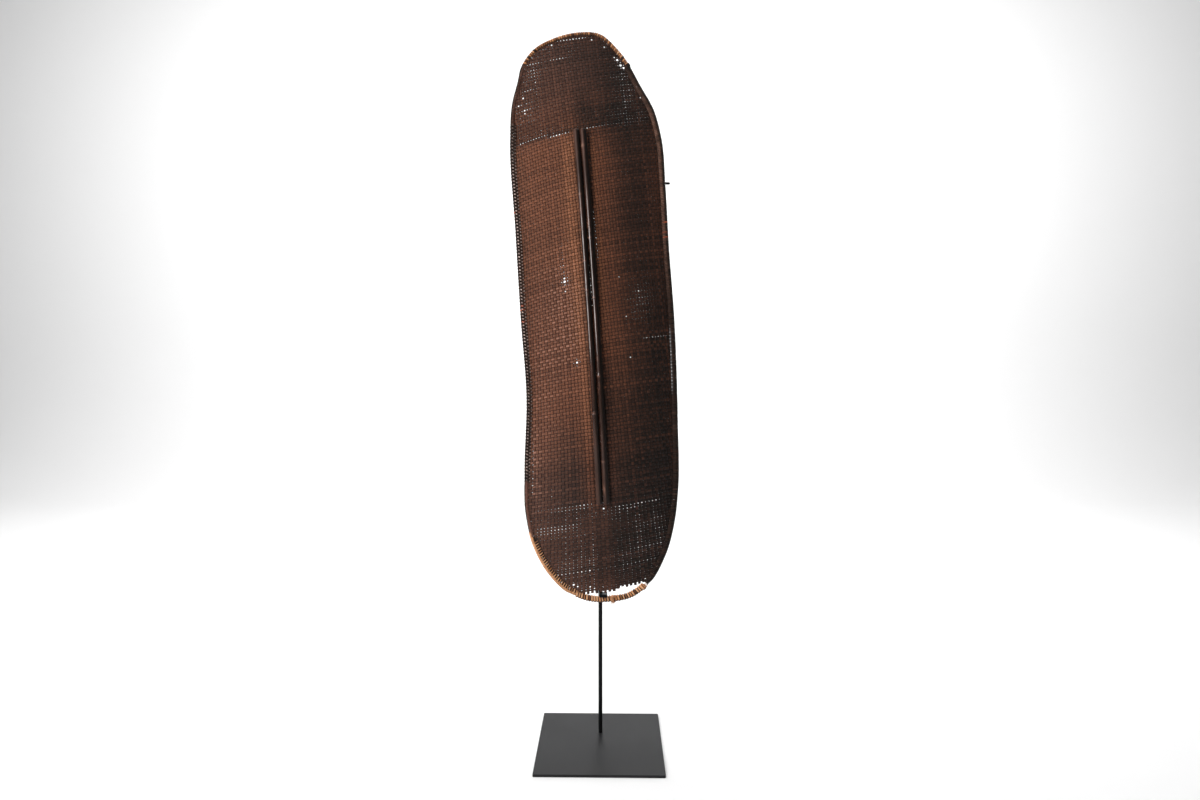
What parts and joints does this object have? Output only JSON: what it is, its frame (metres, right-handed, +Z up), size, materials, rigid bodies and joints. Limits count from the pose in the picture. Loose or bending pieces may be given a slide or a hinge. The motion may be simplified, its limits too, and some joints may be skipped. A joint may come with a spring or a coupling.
{
  "type": "woven cane shield on stand",
  "caption": "Tall oblong domed shield of woven split cane with a lashed cane hoop and stout face canes, held upright on a steel rod with a square base plate.",
  "frame": {"origin": "centre of the base plate's underside, on the surface the stand is put on", "axes": "+Z up along the rod, -Y towards the viewer and the shield's face, +X to the viewer's right"},
  "size_m": [0.4073, 0.3, 1.7103],
  "materials": {
    "woven_cane": "dark brown split cane, plain woven, worn satin with a sooty patina",
    "polished_cane": "near-black cane, handled to a gloss",
    "worn_cane": "tan cane where the patina has worn off, satin",
    "dark_lashing": "narrow dark cane strips wound round the hoop, satin",
    "plate_steel": "charcoal satin coating",
    "rod_steel": "black satin coating"
  },
  "bodies": {
    "root": {"panel_head": "woven_cane", "panel_left": "woven_cane", "panel_right": "woven_cane", "panel_centre_high": "woven_cane", "panel_centre_middle": "woven_cane", "panel_centre_low": "woven_cane", "panel_foot": "woven_cane", "rim_hoop": "worn_cane", "head_binding": "worn_cane", "right_lashing": "dark_lashing", "left_lashing": "dark_lashing", "foot_binding": "worn_cane", "left_face_cane": "polished_cane", "right_face_cane": "polished_cane", "base_plate": "plate_steel", "upright_rod": "rod_steel", "cross_bar": "rod_steel", "rest_lug": "rod_steel"}
  },
  "joints": []
}
